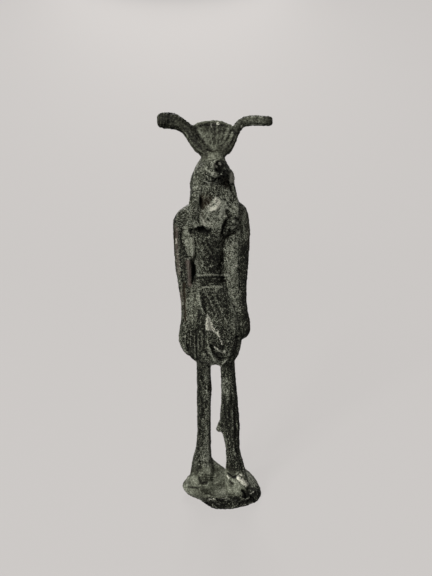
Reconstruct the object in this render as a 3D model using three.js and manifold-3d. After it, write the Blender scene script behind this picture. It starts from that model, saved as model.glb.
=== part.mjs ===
// Small cast bronze statuette of the ibis-headed god Thoth, standing on its own plinth.
// One solid casting: an uneven plinth, striding legs, a pleated kilt with its belt, arms held
// straight down, an ibis head in a long wig, and a crown of two spreading horns with a fan between.
// Most of the bill is broken away, and the feet are worn into the plinth.
// Millimetres. +Z is up, the figure faces -Y, and the origin is under the middle of the plinth.
import * as THREE from 'three';
import { mergeVertices } from 'three/addons/utils/BufferGeometryUtils.js';
import Module from 'manifold-3d';

// Driving dimensions.
const bodyHeight = 70;           // sole to the neck of the crown
const plinthWidth = 16.6;
const plinthDepth = 11.1;
const plinthHeight = 2.8;
const hornSpan = 22.4;           // tip to tip across the crown
const fanRadius = 8.4;           // from the neck of the crown to the arched top of the fan
const fanThickness = 1.9;
const beltHeight = 2.3;
const beltStandOut = 0.22;       // how far the belt stands out of the waist
const pleatDepth = 0.16;
const billDiameter = 2.7;        // across the break
const billReach = 6.4;           // from the figure's axis forward to the break

// The figure's proportions are counted in parts, seventy to the height of its body.
const part = bodyHeight / 70;
const figureX = -0.5;            // the figure stands a little off the middle of the plinth
const figureY = 0.45;
const soleSink = 0.5;            // the feet run this far into the plinth, so that all is one metal

const bronze = new THREE.MeshStandardMaterial({ color: 0x4a4e45, roughness: 0.7, metalness: 0.4 });

const wasm = await Module();
wasm.setup();

function solidFrom(geometry) {
  const bare = geometry.clone();
  bare.deleteAttribute('normal');
  bare.deleteAttribute('uv');
  const merged = mergeVertices(bare, 1e-4);
  return new wasm.Manifold(new wasm.Mesh({
    numProp: 3,
    vertProperties: Float32Array.from(merged.attributes.position.array),
    triVerts: Uint32Array.from(merged.index.array),
  }));
}

function geometryFrom(solid) {
  const mesh = solid.getMesh();
  const geometry = new THREE.BufferGeometry();
  geometry.setAttribute('position', new THREE.BufferAttribute(mesh.vertProperties, 3));
  geometry.setIndex(new THREE.BufferAttribute(mesh.triVerts, 1));
  geometry.computeVertexNormals();
  return geometry;
}

// A form is given by stations, each [height, x, y, half width, half depth, squareness] in parts.
// Squareness 2 is an ellipse and more is squarer.
function curvesThrough(stations) {
  const centres = stations.map(([height, x, y]) => new THREE.Vector3(x, y, height).multiplyScalar(part));
  const sections = stations.map(([, , , halfWidth, halfDepth, squareness = 2]) =>
    new THREE.Vector3(halfWidth * part, halfDepth * part, squareness));
  return [centres, sections].map((points) => new THREE.CatmullRomCurve3(points, false, 'catmullrom', 0.5));
}

const signedPower = (value, power) => Math.sign(value) * Math.abs(value) ** power;

// A closed form through its stations, made by moving the rings of a cylinder.
// Its sections are level and its stations go upward, unless a reference axis is given:
// then each section stands square to the centre line and its width square to that axis.
function formThrough(stations, { sides = 12, rings = 2, reference = null, relief = null } = {}) {
  const [centreLine, sectionLine] = curvesThrough(stations);
  const geometry = new THREE.CylinderGeometry(1, 1, 1, sides, (stations.length - 1) * rings);
  const position = geometry.attributes.position;
  const across = new THREE.Vector3(1, 0, 0);
  const deep = new THREE.Vector3(0, 1, 0);
  for (let i = 0; i < position.count; i += 1) {
    const along = THREE.MathUtils.clamp(position.getY(i) + 0.5, 0, 1);
    const [cosine, sine] = [position.getX(i), -position.getZ(i)];
    const middle = centreLine.getPoint(along);
    const section = sectionLine.getPoint(along);
    if (reference) {
      const forward = centreLine.getTangent(along);
      across.crossVectors(reference, forward).normalize();
      deep.crossVectors(forward, across);
    }
    const swell = relief ? relief(Math.atan2(sine, cosine), along) * Math.hypot(cosine, sine) : 0;
    const reach = 2 / section.z;
    middle
      .addScaledVector(across, signedPower(cosine, reach) * (section.x + swell))
      .addScaledVector(deep, signedPower(sine, reach) * (section.y + swell));
    position.setXYZ(i, middle.x, middle.y, middle.z);
  }
  return solidFrom(geometry);
}

function ball([height, x, y], [halfWidth, halfDepth, halfHeight]) {
  const geometry = new THREE.SphereGeometry(1, 12, 8);
  geometry.rotateX(Math.PI / 2);
  geometry.scale(halfWidth * part, halfDepth * part, halfHeight * part);
  geometry.translate(x * part, y * part, height * part);
  return solidFrom(geometry);
}

const upright = new THREE.Vector3(0, 0, 1);
const frontToBack = new THREE.Vector3(0, 1, 0);

// Trunk from the hips to the neck. The waist is slim and lies to the figure's right.
function trunk() {
  const body = formThrough([
    [41, -0.9, 0.1, 3.2, 2.6],
    [44.2, -0.9, 0, 2.7, 2.35],
    [47.2, -0.82, 0, 2.55, 2.25],
    [50.2, -0.8, 0, 2.65, 2.35],
    [52.8, -0.9, -0.1, 2.95, 2.6],
    [54.5, -0.4, -0.2, 3.8, 2.9, 2.3],
    [56.2, 0, -0.1, 5.1, 3.1, 2.6],
    [58.4, 0, 0.1, 5.6, 2.9, 2.5],
    [60, 0.1, 0.4, 4.9, 2.4, 2.2],
    [61.4, 0.2, 0.4, 3.6, 2.1],
    [66, 0.2, 0.3, 2.6, 2.2],
  ], { sides: 20 });
  const chest = [-2.4, 2.35].map((x) => ball([56.9, x, -1.75], [2.6, 1.7, 2.1]));
  return [body, ...chest];
}

// Kilt: narrow at the belt, widest between the fists, drawn in to its hem.
const pleatCount = 20;

// The pleats die out from the middle of the cloth up to the belt.
function pleats(angle, along) {
  const fullness = 1 - THREE.MathUtils.smoothstep(along, 0.45, 1);
  return Math.cos(angle * pleatCount) * pleatDepth * fullness;
}

function kilt() {
  return formThrough([
    [28.0, 0.1, -0.3, 3.9, 2.8, 2.3],
    [29.2, -0.2, -0.5, 4.9, 3.5, 2.4],
    [30.9, -0.25, -0.6, 5.45, 3.7, 2.4],
    [33.4, 0, -0.6, 5.6, 3.8, 2.4],
    [37.2, 0, -0.5, 5.0, 3.5, 2.3],
    [41.2, -0.4, -0.3, 3.9, 3.0, 2.2],
    [44.8, -0.9, -0.2, 3.0, 2.6, 2.2],
  ], { sides: pleatCount * 4, rings: 1, relief: pleats });
}

// Folds of the wrapped cloth: raised edges that fall across the front and meet between the legs.
function foldEdges() {
  const edge = (stations) => formThrough(stations, { sides: 8, reference: frontToBack });
  return [
    edge([[42.4, -3.2, -2.2, 0.3, 0.4], [39.5, -2.8, -3.2, 0.42, 0.45],
      [36, -1.9, -4.0, 0.45, 0.45], [31, -0.6, -4.2, 0.45, 0.45], [28, 0.5, -3.1, 0.4, 0.5]]),
    edge([[37.5, 3.6, -2.7, 0.3, 0.4], [34, 3.2, -3.8, 0.4, 0.45],
      [30.5, 2.2, -4.0, 0.4, 0.45], [28, 0.9, -3.1, 0.35, 0.5]]),
  ];
}

function belt() {
  const rise = beltHeight / part;
  const out = beltStandOut / part;
  return formThrough([
    [43.55, -0.95, -0.05, 2.85, 2.4],
    [43.7, -0.95, -0.05, 2.95 + out, 2.5 + out],
    [43.7 + rise, -0.95, -0.05, 2.8 + out, 2.3 + out],
    [43.85 + rise, -0.95, -0.05, 2.65, 2.15],
  ], { sides: 28, rings: 1 });
}

// Legs: the figure's left leg, at +X, strides a little ahead of the right.
function legs() {
  const right = formThrough([
    [-soleSink / part, -3.5, 1.0, 2.8, 2.6],
    [0.8, -3.35, 1.0, 2.75, 2.6],
    [2.9, -3.15, 1.1, 2.55, 2.4],
    [5.3, -3.1, 1.2, 2.1, 2.0],
    [8.2, -2.75, 1.2, 1.7, 1.75],
    [12, -2.55, 1.1, 1.5, 1.7],
    [17, -2.5, 0.9, 1.5, 1.8],
    [22, -2.3, 0.7, 1.6, 1.8],
    [27, -2.35, 0.4, 1.5, 1.8],
    [33, -2.0, 0.1, 1.9, 2.2],
  ], { sides: 12 });
  const left = formThrough([
    [-soleSink / part, 3.9, -2.4, 2.7, 2.6],
    [0.8, 3.8, -2.4, 2.6, 2.5],
    [3.2, 3.6, -2.3, 2.3, 2.2],
    [5.8, 3.4, -2.2, 1.8, 1.9],
    [8.4, 3.15, -2.0, 1.55, 1.75],
    [10.6, 2.95, -1.9, 1.6, 1.8],
    [13.8, 2.75, -1.7, 2.05, 1.95],
    [16.4, 2.65, -1.4, 2.0, 1.95],
    [20, 2.7, -1.2, 1.75, 1.9],
    [27, 2.55, -0.6, 1.5, 1.8],
    [33, 2.3, -0.1, 2.0, 2.2],
  ], { sides: 12 });
  return [right, left];
}

// A ragged fin of metal left on the inner side of the striding calf.
function calfFin() {
  const outline = new THREE.Shape();
  outline.moveTo(2.6, 19);
  outline.lineTo(0.75, 15.4);
  outline.lineTo(0.1, 14.2);
  outline.lineTo(-0.38, 13.1);
  outline.lineTo(0.1, 12.7);
  outline.lineTo(0.6, 12.9);
  outline.lineTo(1.1, 11.9);
  outline.lineTo(2.6, 11);
  outline.closePath();
  const geometry = new THREE.ExtrudeGeometry(outline, { depth: 1.2, bevelEnabled: false });
  geometry.rotateX(Math.PI / 2);
  geometry.translate(0, -1, 0);
  geometry.scale(part, part, part);
  return solidFrom(geometry);
}

// Feet: worn wedges, the right one short and the left one running out to the front of the plinth.
function feet() {
  const right = [
    [0.6, -3.3, 1.2, 2.0, 2.6],
    [0.3, -3.3, 0.1, 2.2, 1.8],
    [-0.2, -3.45, -1.1, 2.3, 1.1],
    [-0.5, -3.55, -2.0, 1.9, 0.7],
  ];
  const left = [
    [0.8, 3.6, -2.0, 2.0, 2.6],
    [0.1, 3.5, -3.6, 2.1, 1.7],
    [-0.5, 3.3, -4.7, 2.0, 1.1],
    [-0.9, 3.2, -5.4, 1.6, 0.8],
  ];
  return [right, left].map((stations) => formThrough(stations, { sides: 12, reference: upright }));
}

// Metal that fills the corner between the heels.
function heelWeb() {
  return formThrough([
    [-soleSink / part, 0.2, 0.9, 3.2, 2.6],
    [1.0, 0.1, 1.1, 2.8, 1.8],
    [2.4, -0.4, 1.2, 2.0, 1.2],
    [3.5, -1.1, 1.2, 1.6, 0.8],
    [5.2, -2.0, 1.2, 1.0, 0.6],
  ]);
}

// Arms hang straight at the sides and end in fists. The right fist runs down to the hem of the kilt.
function arms() {
  const right = formThrough([
    [29.8, -5.2, -0.8, 0.6, 0.9],
    [30.7, -5.65, -0.8, 1.05, 1.4],
    [31.9, -6.0, -0.8, 1.3, 1.6],
    [33.8, -6.2, -0.8, 1.35, 1.7],
    [35.8, -6.05, -0.7, 1.2, 1.5],
    [38.5, -5.65, -0.5, 1.1, 1.25],
    [43.5, -5.85, -0.1, 1.35, 1.3],
    [47.5, -5.9, 0.2, 1.75, 1.4],
    [50, -6.0, 0.35, 1.75, 1.4],
    [53.7, -6.6, 0.5, 1.25, 1.5],
    [56.2, -6.2, 0.4, 1.6, 1.8],
    [58.0, -5.6, 0.4, 1.75, 1.9],
    [59.3, -4.5, 0.4, 1.75, 1.6],
    [60.2, -3.5, 0.5, 1.1, 1.0],
  ]);
  const left = formThrough([
    [32.4, 5.1, -0.9, 0.6, 0.8],
    [33.0, 5.5, -0.9, 1.05, 1.3],
    [33.8, 5.95, -0.9, 1.3, 1.5],
    [34.9, 6.1, -0.9, 1.35, 1.6],
    [36.4, 6.05, -0.8, 1.3, 1.5],
    [38.4, 5.85, -0.5, 1.15, 1.3],
    [42.2, 5.75, -0.2, 1.1, 1.25],
    [45.4, 5.95, 0, 1.15, 1.3],
    [51.3, 6.45, 0.3, 1.2, 1.4],
    [55.1, 6.4, 0.4, 1.4, 1.6],
    [57.6, 5.8, 0.4, 1.75, 1.9],
    [59.3, 5.3, 0.4, 1.75, 1.7],
    [60.4, 4.5, 0.5, 1.4, 1.3],
    [61, 4.0, 0.5, 0.8, 0.8],
  ]);
  return [right, left];
}

// Thin metal between arms and body. At the waist the right arm stands off, and a deep slot is left
// there in front of a thin flash of metal.
function armWebs() {
  return [
    [[44, -3.8, 0.9, 1.3, 0.45, 3], [48, -3.8, 0.95, 1.3, 0.5, 3], [52.5, -3.9, 0.9, 1.3, 0.5, 3]],
    [[49.9, -4.9, 0.1, 0.8, 0.7], [51.2, -4.9, 0, 1.4, 1.1], [55, -4.8, -0.1, 1.7, 1.4], [59.2, -4.6, 0.3, 1.9, 1.8]],
    [[30, -4.6, -0.4, 1.4, 1.4], [36, -4.7, -0.4, 1.5, 1.5], [42, -4.6, -0.2, 1.6, 1.4], [44.4, -4.7, -0.1, 1.4, 1.0]],
    [[33, 4.6, -0.4, 1.6, 1.6], [40, 4.2, -0.2, 2.0, 1.6], [48, 3.6, 0, 2.6, 1.5],
      [54, 4.2, 0, 2.3, 1.6], [59.4, 4.4, 0.3, 1.9, 1.8]],
  ].map((stations) => formThrough(stations, { sides: 12 }));
}

// Long wig: domed over the head, straight at the sides, with a lappet on each side of the chest.
function wig() {
  const crown = formThrough([
    [57, 0.3, 0.7, 4.1, 2.4, 2.6],
    [60.8, 0.5, 0.5, 4.65, 2.8, 2.6],
    [62.9, 0.35, 0.2, 4.5, 3.2, 2.4],
    [64.7, 0.2, 0, 4.3, 3.5, 2.3],
    [66.3, 0.25, 0, 3.85, 3.5, 2.1],
    [67.8, 0.2, 0, 3.0, 3.0],
    [69, 0.4, 0, 2.3, 2.3],
    [70, 0.4, 0, 2.15, 2.0],
  ], { sides: 22 });
  const lappet = (x, end, y) => formThrough([
    [end, x, y, 0.9, 0.8, 2.8],
    [end + 0.6, x, y - 0.1, 1.05, 1.0, 2.8],
    [60.4, x, y + 0.3, 1.15, 1.2, 2.8],
    [63.6, x * 0.84, y + 0.6, 1.0, 1.5, 2.6],
  ], { sides: 12 });
  return [crown, lappet(-3.65, 56.2, -2.4), lappet(3.9, 57.4, -2.1)];
}

// Ibis head: cheeks draw in to the root of the bill, which is broken off short. Under it the throat
// runs straight into the wig at the figure's left.
function head() {
  const bill = billDiameter / 2 / part;
  const tip = billReach / part;
  const face = formThrough([
    [65.9, 0.15, -0.6, 3.5, 2.9],
    [66.0, 0.15, -2.4, 3.3, 2.6],
    [66.2, 0.2, -tip + 2.7, 2.7, 2.2],
    [66.4, 0.3, -tip + 1.5, bill * 1.4, bill * 1.35],
    [66.6, 0.4, -tip + 0.5, bill, bill * 1.12],
    [66.7, 0.4, -tip, bill * 0.9, bill],
  ], { sides: 16, reference: upright });
  const throat = formThrough([
    [55.4, -0.3, -1.8, 2.2, 1.0],
    [57.6, -0.2, -1.9, 2.9, 1.6],
    [60.4, 0, -1.9, 3.0, 1.75],
    [62.6, 0.2, -1.9, 2.7, 1.85],
    [64.4, 0.2, -1.6, 2.4, 1.8],
  ]);
  const throatCorner = formThrough([
    [58.9, 2.3, -2.3, 0.9, 0.5],
    [60, 2.4, -2.5, 1.2, 0.85],
    [62, 2.5, -2.5, 1.2, 1.0],
    [64, 2.2, -2.0, 1.1, 1.2],
  ]);
  return [face, throat, throatCorner];
}

// Crown: two horns rise from one root and spread to the sides, with a fan between them.
function crown() {
  const reach = hornSpan / (22.4 * part);
  const root = formThrough([
    [66.5, 0.3, 0, 2.6, 2.4],
    [69.2, 0.45, 0, 2.3, 1.8],
    [70.6, 0.5, 0, 2.6, 1.2],
    [72, 0.5, 0, 1.6, 0.6],
  ], { sides: 18 });
  const rightHorn = [
    [69.7, -0.5, 0, 1.1, 1.3],
    [71.0, -1.9, 0, 1.4, 1.4],
    [72.4, -3.1, 0, 1.3, 1.3],
    [74.0, -4.2, 0, 1.2, 1.2],
    [75.0, -5.4, 0, 1.25, 1.2],
    [75.6, -6.9, 0, 1.5, 1.3],
    [75.8, -8.4, 0, 1.55, 1.35],
    [75.8, -9.5, 0, 1.35, 1.2],
    [75.8, -10.05, 0, 0.8, 0.8],
  ];
  const leftHorn = [
    [69.6, 1.3, 0, 1.1, 1.3],
    [70.6, 2.9, 0, 1.15, 1.3],
    [72.2, 4.2, 0, 0.95, 1.2],
    [74.0, 5.0, 0, 0.9, 1.1],
    [75.4, 6.1, 0, 0.95, 1.1],
    [75.95, 7.6, 0, 1.0, 1.1],
    [76.0, 9.4, 0, 1.05, 1.1],
    [75.95, 11.2, 0, 0.95, 1.0],
    [75.9, 12.1, 0, 0.85, 0.9],
    [75.9, 12.35, 0, 0.6, 0.6],
  ];
  const horns = [rightHorn, leftHorn].map((stations) => formThrough(
    stations.map(([height, x, ...section]) => [height, x * reach, ...section]),
    { sides: 10, reference: frontToBack }));
  return [root, ...horns, fan()];
}

// The fan is a sector about a pivot inside the neck of the crown.
function fan() {
  const pivot = new THREE.Vector3(0.5, 0, 67.4).multiplyScalar(part);
  const halfSpread = THREE.MathUtils.degToRad(27);
  const middle = Math.PI / 2;
  const radius = fanRadius;
  const sector = new THREE.Shape();
  sector.moveTo(0, 0);
  sector.lineTo(radius * Math.sin(halfSpread), radius * Math.cos(halfSpread));
  sector.absarc(0, 0, radius, middle - halfSpread, middle + halfSpread, false);
  sector.closePath();
  const geometry = new THREE.ExtrudeGeometry(sector, { depth: fanThickness, bevelEnabled: false, curveSegments: 12 });
  geometry.rotateX(Math.PI / 2);
  geometry.translate(pivot.x, fanThickness / 2, pivot.z);
  return solidFrom(geometry);
}

// Plinth: an uneven slab, cut back at the figure's right front and overhanging at the right tip.
function plinth() {
  const outline = [
    [-0.76, 0.89], [-0.87, 0.64], [-1, 0.27], [-0.84, -0.02], [-0.65, -0.34], [-0.47, -0.76],
    [-0.22, -0.98], [0.14, -1.05], [0.5, -0.98], [0.8, -0.78], [0.98, -0.4], [1, 0.12],
    [0.94, 0.57], [0.78, 0.91], [0.36, 1], [-0.3, 1],
  ];
  const rim = new THREE.CatmullRomCurve3(
    outline.map(([x, y]) => new THREE.Vector3(x * plinthWidth / 2, y * plinthDepth / 2, 0)),
    true, 'catmullrom', 0.5);
  // Each level is [share of the height, spread, shift to the figure's left as a share of the width].
  const levels = [[0, 0.97, 0.05], [0.25, 0.99, 0.03], [0.6, 1, 0.005], [0.86, 0.97, -0.009], [1, 0.9, -0.009]];
  const sides = 40;
  const geometry = new THREE.CylinderGeometry(1, 1, 1, sides, levels.length - 1);
  const position = geometry.attributes.position;
  for (let i = 0; i < position.count; i += 1) {
    const [height, spread, shift] = levels[Math.round((position.getY(i) + 0.5) * (levels.length - 1))];
    const [cosine, sine] = [position.getX(i), -position.getZ(i)];
    const atRim = Math.round(Math.hypot(cosine, sine));
    const turn = Math.atan2(sine, cosine) / (2 * Math.PI);
    const edge = rim.getPoint((turn + 1.625) % 1).multiplyScalar(spread * atRim);
    position.setXYZ(i, edge.x + shift * plinthWidth, edge.y, height * plinthHeight);
  }
  return solidFrom(geometry);
}

const join = (solids) => solids.reduce((whole, solid) => whole.add(solid));

const figure = join([
  ...trunk(), kilt(), ...foldEdges(), belt(), ...legs(), calfFin(), ...feet(), heelWeb(),
  ...arms(), ...armWebs(), ...wig(), ...head(), ...crown(),
]).translate([figureX, figureY, plinthHeight]);

const statuette = new THREE.Mesh(geometryFrom(plinth().add(figure)), bronze);
statuette.name = 'statuette';

const group = new THREE.Group();
group.add(statuette);

export default group;
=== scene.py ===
import math
import bpy
import numpy as np
from mathutils import Matrix, Vector
from mathutils.bvhtree import BVHTree


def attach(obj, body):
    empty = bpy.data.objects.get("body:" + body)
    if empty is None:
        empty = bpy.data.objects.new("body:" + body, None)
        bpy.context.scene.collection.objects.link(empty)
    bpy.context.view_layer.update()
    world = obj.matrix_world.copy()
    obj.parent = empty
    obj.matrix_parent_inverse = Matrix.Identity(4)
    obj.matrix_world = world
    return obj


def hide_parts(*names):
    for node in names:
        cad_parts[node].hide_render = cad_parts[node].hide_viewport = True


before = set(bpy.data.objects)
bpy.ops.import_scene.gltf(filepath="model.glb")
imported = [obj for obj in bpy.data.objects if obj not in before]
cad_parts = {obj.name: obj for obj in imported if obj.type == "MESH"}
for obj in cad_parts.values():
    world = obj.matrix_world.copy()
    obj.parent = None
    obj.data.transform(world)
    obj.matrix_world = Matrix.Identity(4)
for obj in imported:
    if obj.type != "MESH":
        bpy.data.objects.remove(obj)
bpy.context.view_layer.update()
mm = 0.001

# The camera. It stands a little to the figure's right, level with the wig, and looks ten degrees
# down at the whole figure, as the photograph does. Places in the picture are written in its pixels.
picture_wide = 432
picture_high = 576
lens_pixels = 448
picture_centre = (213.5, 288)
eye = Vector((-16.13, -88.18, 62.0)) * mm
turn = math.radians(-10)
pitch = math.radians(80)
roll = math.radians(-1.2)
gaze = Matrix.Rotation(turn, 3, "Z") @ Matrix.Rotation(pitch, 3, "X") @ Matrix.Rotation(roll, 3, "Z")
bpy.ops.object.select_all(action="DESELECT")
bpy.ops.object.camera_add(location=eye, rotation=gaze.to_euler())
camera = bpy.context.object
camera.data.sensor_width = 36
camera.data.lens = camera.data.sensor_width * lens_pixels / picture_high
camera.data.shift_x = (picture_wide / 2 - picture_centre[0]) / picture_high
camera.data.clip_start = 5 * mm
bpy.context.scene.camera = camera

# The casting: one solid piece of bronze, figure and plinth together. Its joints between forms are
# melted softly into each other, as cast from wax, and then worn by burial.
merge_distance = 0.001 * mm
mesh_grain = 0.2 * mm


def choose(piece):
    """Makes the piece the only one selected, and the active one."""
    bpy.ops.object.select_all(action="DESELECT")
    piece.select_set(True)
    bpy.context.view_layer.objects.active = piece


def finish_with(piece, kind, **settings):
    """Adds a modifier to the piece and applies it."""
    choose(piece)
    bpy.ops.object.modifier_add(type=kind)
    modifier = piece.modifiers[-1]
    for name, value in settings.items():
        setattr(modifier, name, value)
    bpy.ops.object.modifier_apply(modifier=modifier.name)


casting = bpy.data.objects.new("casting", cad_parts["statuette"].data.copy())
bpy.context.scene.collection.objects.link(casting)
casting.data.materials.clear()
choose(casting)
bpy.ops.object.mode_set(mode="EDIT")
bpy.ops.mesh.select_all(action="SELECT")
bpy.ops.mesh.remove_doubles(threshold=merge_distance)
bpy.ops.object.mode_set(mode="OBJECT")
finish_with(casting, "REMESH", mode="VOXEL", voxel_size=mesh_grain)
finish_with(casting, "SMOOTH", factor=0.5, iterations=5)


def picture_of(places):
    """Where places on the model fall in the picture."""
    local = (places - np.array(eye)) @ np.array(gaze)
    across = picture_centre[0] - lens_pixels * local[:, 0] / local[:, 2]
    down = picture_centre[1] + lens_pixels * local[:, 1] / local[:, 2]
    return np.stack([across, down], axis=1)


class Skin:
    """The casting's surface as it stands: places and outward normals of its points."""

    def __init__(self, piece):
        mesh = piece.data
        self.places = np.zeros((len(mesh.vertices), 3))
        self.normals = np.zeros((len(mesh.vertices), 3))
        mesh.vertices.foreach_get("co", self.places.ravel())
        mesh.vertices.foreach_get("normal", self.normals.ravel())
        self.picture = picture_of(self.places)
        toward = np.array(eye) - self.places
        toward /= np.linalg.norm(toward, axis=1, keepdims=True)
        self.facing = (self.normals * toward).sum(axis=1)
        self.height = np.zeros(len(self.places))
        faces = [tuple(polygon.vertices) for polygon in mesh.polygons]
        self.tree = BVHTree.FromPolygons(self.places.tolist(), faces)


skin = Skin(casting)

# Crown: two horns spread from one root, with a dished fan between them, all cast in one with the head.
# Fine ribs spread over the fan from the root, and shallow marks cross the tip of one horn.
tints = {name: np.zeros(len(skin.places)) for name in ("pale", "dark", "even", "crust", "copper", "brown")}
step_in_picture = 0.4
step_on_skin_mm = 0.1
points_at_once = 16
same_way = 0.1
edge_on = 0.02
full_face = 3
wear_spread = 0.8
dirt_spread = 1.1


def sight(across, down):
    """The direction in which the camera sees a place in the picture."""
    x = (across - picture_centre[0]) / lens_pixels
    y = (picture_centre[1] - down) / lens_pixels
    return (gaze @ Vector((x, y, -1))).normalized()


def trace(path):
    """Points on the skin along a path of places in the picture, or of places in mm (x, y, z)."""
    ends = np.array(path, float)
    step = step_in_picture if ends.shape[1] == 2 else step_on_skin_mm
    found = []
    for start, end in zip(ends, ends[1:]):
        count = max(2, math.ceil(np.linalg.norm(end - start) / step))
        for share in np.linspace(0, 1, count):
            place = start + (end - start) * share
            if len(place) == 2:
                hit, normal, _, _ = skin.tree.ray_cast(eye, sight(*place))
            else:
                hit, normal, _, _ = skin.tree.find_nearest(Vector(place) * mm)
            if hit is not None:
                found.append((*hit, *normal))
    return np.array(found)


def along(path, width):
    """The points near a path, and how much of a stroke of that width in mm each one feels."""
    line = trace(path)
    if len(line) == 0:
        return np.zeros(0, int), np.zeros(0)
    reach = width / 2 * mm
    low, high = line[:, :3].min(axis=0) - reach, line[:, :3].max(axis=0) + reach
    near = np.where(((skin.places > low) & (skin.places < high)).all(axis=1))[0]
    share = np.zeros(len(near))
    for first in range(0, len(line), points_at_once):
        part = line[first:first + points_at_once]
        away = np.linalg.norm(skin.places[near][:, None] - part[None, :, :3], axis=2)
        same_side = (skin.normals[near] @ part[:, 3:].T) > same_way
        felt = np.clip(1 - (away / reach) ** 2, 0, 1) ** 2 * same_side
        share = np.maximum(share, felt.max(axis=1))
    return near, share


def inside(outline, soft):
    """The seen points inside a closed outline in the picture, fading out over soft pixels at its edge."""
    corners = np.array(outline, float)
    low, high = corners.min(axis=0) - soft, corners.max(axis=0) + soft
    in_reach = ((skin.picture > low) & (skin.picture < high)).all(axis=1)
    near = np.where(in_reach & (skin.facing > edge_on))[0]
    points = skin.picture[near]
    within = np.zeros(len(near), bool)
    nearest = np.full(len(near), np.inf)
    for start, end in zip(corners, np.roll(corners, -1, axis=0)):
        span = end - start
        share = np.clip(((points - start) @ span) / (span @ span), 0, 1)
        nearest = np.minimum(nearest, np.linalg.norm(points - start - share[:, None] * span, axis=1))
        crosses = (start[1] > points[:, 1]) != (end[1] > points[:, 1])
        level = np.where(crosses, (points[:, 1] - start[1]) / (span[1] if span[1] else 1), 0)
        within ^= crosses & (points[:, 0] < start[0] + level * span[0])
    depth = np.where(within, nearest, -nearest)
    seen = np.clip(skin.facing[near] * full_face, 0, 1)
    return near, np.clip((depth + soft / 2) / soft, 0, 1) * seen


def daub(name, path, width, strength=1.0):
    """Brushes one of the tints along a path: patina in most places, painted shade and painted light in a few.
    """
    near, share = along(path, width)
    tints[name][near] = np.maximum(tints[name][near], share * strength)


def wash(name, outline, strength=1.0, soft=5):
    """Fills an outline with one of the tints: patina in most places, painted shade and painted light in a
    few.
    """
    near, share = inside(outline, soft)
    tints[name][near] = np.maximum(tints[name][near], share * strength)


def ridge(path, width, height, wear=0.6):
    """Raises a worn, pale ridge; width and height in mm."""
    near, share = along(path, width)
    skin.height[near] += share * height * mm
    daub("pale", path, width * wear_spread, wear)


def groove(path, width, depth, dirt=0.9):
    """Cuts a groove that holds dark dirt; width and depth in mm."""
    near, share = along(path, width)
    skin.height[near] -= share * depth * mm
    daub("dark", path, width * dirt_spread, dirt)


wash("dark", [(157, 111), (176, 112), (186, 119), (196, 127), (199, 141), (206, 154), (199, 156), (188, 140),
              (178, 130), (157, 129)], 0.5)
wash("dark", [(225, 158), (222, 150), (229, 140), (233, 128), (240, 122), (243, 128), (238, 140)], 0.3)
wash("pale", [(226, 124), (233, 126), (234, 136), (228, 144), (225, 138)], 0.8)
wash("dark", [(156, 111), (176, 111), (184, 118), (182, 129), (157, 129)], 0.65)
wash("pale", [(244, 119), (268, 118), (268, 127), (244, 129)], 0.5, 3)
wash("dark", [(236, 116), (250, 113), (250, 117), (240, 121)], 0.4, 3)
wash("pale", [(198, 128), (203, 128), (211, 146), (203, 142)], 0.5)
wash("pale", [(227, 128), (232, 127), (229, 138), (221, 145)], 0.5)
wash("pale", [(204, 142), (226, 142), (222, 151), (208, 150)], 0.5)
wash("pale", [(212, 152), (226, 150), (225, 162), (204, 163)], 0.8)
wash("even", [(150, 106), (280, 106), (280, 130), (236, 162), (196, 162), (150, 134)], 1.2)
wash("dark", [(264, 117), (272, 117), (272, 125), (265, 125)], 0.7)
groove([(195, 127), (199.5, 136), (205.5, 144.5), (212, 149)], 0.8, 0.2, 0.2)
groove([(231.5, 128), (229.3, 136.6), (224, 144), (218, 148.5)], 0.8, 0.1, 0.1)
ridge([(197, 124), (204, 122.6), (212, 121.4), (221, 122.2), (229, 125)], 0.6, 0.12, 0.1)
groove([(199, 126.5), (206, 125.4), (213, 124.6), (221, 125), (228, 127)], 0.5, 0.05, 0.4)
for head, foot in [((203.5, 129), (208, 141)), ((207.5, 128), (211, 143)), ((211.2, 127), (213.6, 145)),
                   ((214.4, 128), (215.3, 144)), ((220.8, 127), (218.4, 144)), ((225.2, 129), (221.5, 142))]:
    groove([head, foot], 0.5, 0.06, 0.15)
for head, foot in [((209.3, 127), (212.3, 143)), ((217.6, 128), (216.8, 145)), ((223, 128), (220, 142))]:
    ridge([head, foot], 0.5, 0.05, 0.15)
for path in [[(169, 126), (173, 124)], [(163, 114), (167, 115)], [(176, 122), (179, 126)],
             [(171, 116), (175, 118)]]:
    daub("pale", path, 1.2, 0.5)
for across in (159.5, 162.4, 165.4, 168.6):
    groove([(across + 0.4, 113), (across - 0.4, 128)], 0.5, 0.12, 0.5)
groove([(176, 118), (184, 122), (191, 128), (194, 136)], 0.5, 0.12, 0.5)
ridge([(180, 128), (186, 133), (191, 141), (197, 149), (204, 153)], 0.6, 0.12, 0.35)
ridge([(247, 117.5), (256, 117), (263, 118)], 0.5, 0.08, 0.7)
groove([(245, 124), (254, 123.5), (262, 124)], 0.5, 0.1, 0.2)
daub("pale", [(243, 127), (254, 126), (268, 126)], 1.4, 0.8)
groove([(233, 130), (235.5, 134), (233, 140), (229, 146)], 0.7, 0.18, 0.8)
groove([(208, 150), (212.5, 151.5)], 0.7, 0.15, 1.0)
daub("crust", [(211.4, 123.6), (211.6, 127)], 0.5, 0.55)
daub("crust", [(217.4, 123.4), (218.6, 124.4)], 0.75, 0.95)
daub("crust", [(228.5, 134), (230, 134)], 0.5, 0.7)
daub("crust", [(241, 126), (242, 128)], 0.6, 0.7)

# Head: an ibis face in a wig. The bill is broken off at its root, and its break is a dark pitted
# hollow beside a bright worn cheek. A curved rim of the wig stands at the figure's left.

def swell(outline, height, soft=3):
    """Raises all that an outline holds, or sinks it where the height, in mm, is negative."""
    near, share = inside(outline, soft)
    skin.height[near] += share * height * mm


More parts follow.
